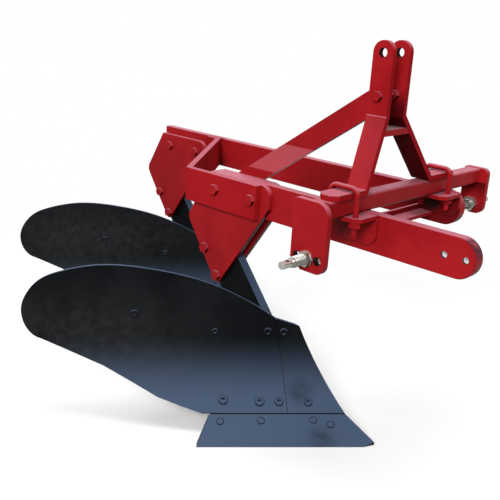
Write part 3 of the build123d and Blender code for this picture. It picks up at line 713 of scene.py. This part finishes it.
def add_plough_bolts():
    """Heads with a shallow dip in the middle, each in a ring of painted shade."""
    shape = ([], [], [])
    for step in BODY_STEPS:
        for s, z, r in PLOUGH_BOLTS:
            at, outward = body_place(s, z)
            at = at + step + outward * (SHARE_BOLT_LIFT if z < SHARE_RISE else 0)
            high = UPPER_BOLT_HIGH if z > UPPER_BOLT_Z else BOLT_HIGH
            ring = (
                (r * 1.05, -0.0004), (r * 1.03, 0.00015),
                (r * 0.95, 0.00015), (r * 0.92, -0.0003),
            )
            head = (
                (r * 0.92, -0.0003), (r * 0.86, high * 0.7), (r * 0.5, high),
                (r * 0.44, high * 0.3), (0.0001, high * 0.2),
            )
            add_turned(shape, at, outward, ring, BOLT_SIDES, 1)
            add_turned(shape, at, outward, head, BOLT_SIDES)
    add_piece("plough_bolts", shape, (black, gap_shade))


# the middle of the seam: s at the share and at the top, and how high the top is
SEAM_LOW = 0.2075
SEAM_HIGH = 0.2335
SEAM_TOP = 0.242
# the filling stops short of the seam's ends
SEAM_INSET = 0.001
SEAM_STEPS = 24
# corners of the filling's section: s and depth under the surface
SEAM_SECTION = ((-0.00045, 0.0015), (0.00045, 0.0015), (0.00045, 0.004), (-0.00045, 0.004))


def add_seams():
    """Dark filling of painted shade in the narrow seam between shin and mouldboard."""
    shape = points, faces, slots = [], [], []
    low_z = SHARE_RISE + SEAM_INSET
    high_z = SEAM_TOP - SEAM_INSET
    slant = (SEAM_HIGH - SEAM_LOW) / (SEAM_TOP - SHARE_RISE)
    corners = len(SEAM_SECTION)
    for step in BODY_STEPS:
        first = len(points)
        for index in range(SEAM_STEPS + 1):
            z = low_z + (high_z - low_z) * index / SEAM_STEPS
            s = SEAM_LOW + slant * (z - SHARE_RISE)
            for across, depth in SEAM_SECTION:
                at, outward = body_place(s + across, z)
                points.append(at + step - outward * depth)
        add_skin(shape, first, SEAM_STEPS + 1, corners)
        faces.append(tuple(reversed(range(first, first + corners))))
        faces.append(tuple(range(len(points) - corners, len(points))))
        slots += [0, 0]
    add_piece("board_seams", shape, (gap_shade,))


# threads outside and inside the hitch plates: where the pin meets the plate's face, which way
# the thread runs across, how far from the face it starts, and its length
PIN_THREADS = (
    (0.1976, -0.174, 0.468, -1, 0.013, 0.034), (0.215, 0.486, 0.496, 1, 0.013, 0.034),
    (0.1976, -0.159, 0.468, 1, 0.016, 0.006), (0.215, 0.471, 0.496, -1, 0.016, 0.006),
)
THREAD_SIDES = 32
THREAD_PITCH = 0.0032
THREAD_ROOT_R = 0.01105
THREAD_CREST_R = 0.0119
THREAD_VALLEY_R = 0.01108


def add_threads():
    """Ridges, and valleys in painted shade."""
    shape = ([], [], [])
    for x, y, z, way, start, length in PIN_THREADS:
        at = frame_point(x, y + way * start, z)
        axis = ACROSS * way
        for ridge in range(int(length / THREAD_PITCH)):
            low = THREAD_PITCH * ridge
            crest = (
                (THREAD_ROOT_R, low), (THREAD_CREST_R, low + 0.0006),
                (THREAD_CREST_R, low + 0.0012), (THREAD_ROOT_R, low + 0.0018),
            )
            valley = ((THREAD_VALLEY_R, low + 0.0018), (THREAD_VALLEY_R, low + THREAD_PITCH))
            add_turned(shape, at, axis, crest, THREAD_SIDES)
            add_turned(shape, at, axis, valley, THREAD_SIDES, 1)
    add_piece("pin_threads", shape, (zinc, gap_shade))


# beads round the cross tube against the hitch plates: ahead and up, and how far across
TUBE_WELD = (
    (0.193, 0.590), (0.229, 0.590), (0.230, 0.588),
    (0.230, 0.553), (0.193, 0.552), (0.192, 0.589),
)
TUBE_WELD_ACROSS = (-0.158, 0.470)
# straight beads: the lugs along the beams, the tie's flange on the left beam and the cross
# member on the right one
STRAIGHT_WELDS = (
    ((0.160, -0.0265, 0.5525), (0.262, -0.0265, 0.5525)),
    ((0.160, 0.3165, 0.5525), (0.262, 0.3165, 0.5525)),
    ((-0.622, 0.317, 0.552), (-0.560, 0.317, 0.552)),
    ((0.150, 0.0005, 0.492), (0.196, 0.0005, 0.492)),
)
BEAD_R = 0.0022
BEAD_SIDES = 8


def add_bead(shape, path):
    """A wavy weld bead along a path of points."""
    centres = []
    for first, second in zip(path, path[1:]):
        count = max(2, int((second - first).length / (BEAD_R * 0.9)))
        centres += [first.lerp(second, step / count) for step in range(count)]
    centres.append(path[-1])
    start = len(shape[0])
    for index, at in enumerate(centres):
        ahead = centres[min(index + 1, len(centres) - 1)] - centres[max(index - 1, 0)]
        side = ahead.orthogonal().normalized()
        other = ahead.normalized().cross(side)
        swell = BEAD_R * (1 + 0.16 * math.sin(index * 2.1) + 0.08 * math.sin(index * 0.7))
        add_ring(shape, at, side, other, swell, BEAD_SIDES)
    add_skin(shape, start, len(centres), BEAD_SIDES)


def add_welds():
    shape = ([], [], [])
    for y in TUBE_WELD_ACROSS:
        add_bead(shape, [frame_point(x, y, z) for x, z in TUBE_WELD])
    for ends in STRAIGHT_WELDS:
        add_bead(shape, [frame_point(*end) for end in ends])
    add_piece("weld_beads", shape, (red,))


add_plough_bolts()
add_seams()
add_threads()
add_welds()

bpy.context.scene.view_settings.view_transform = "Standard"
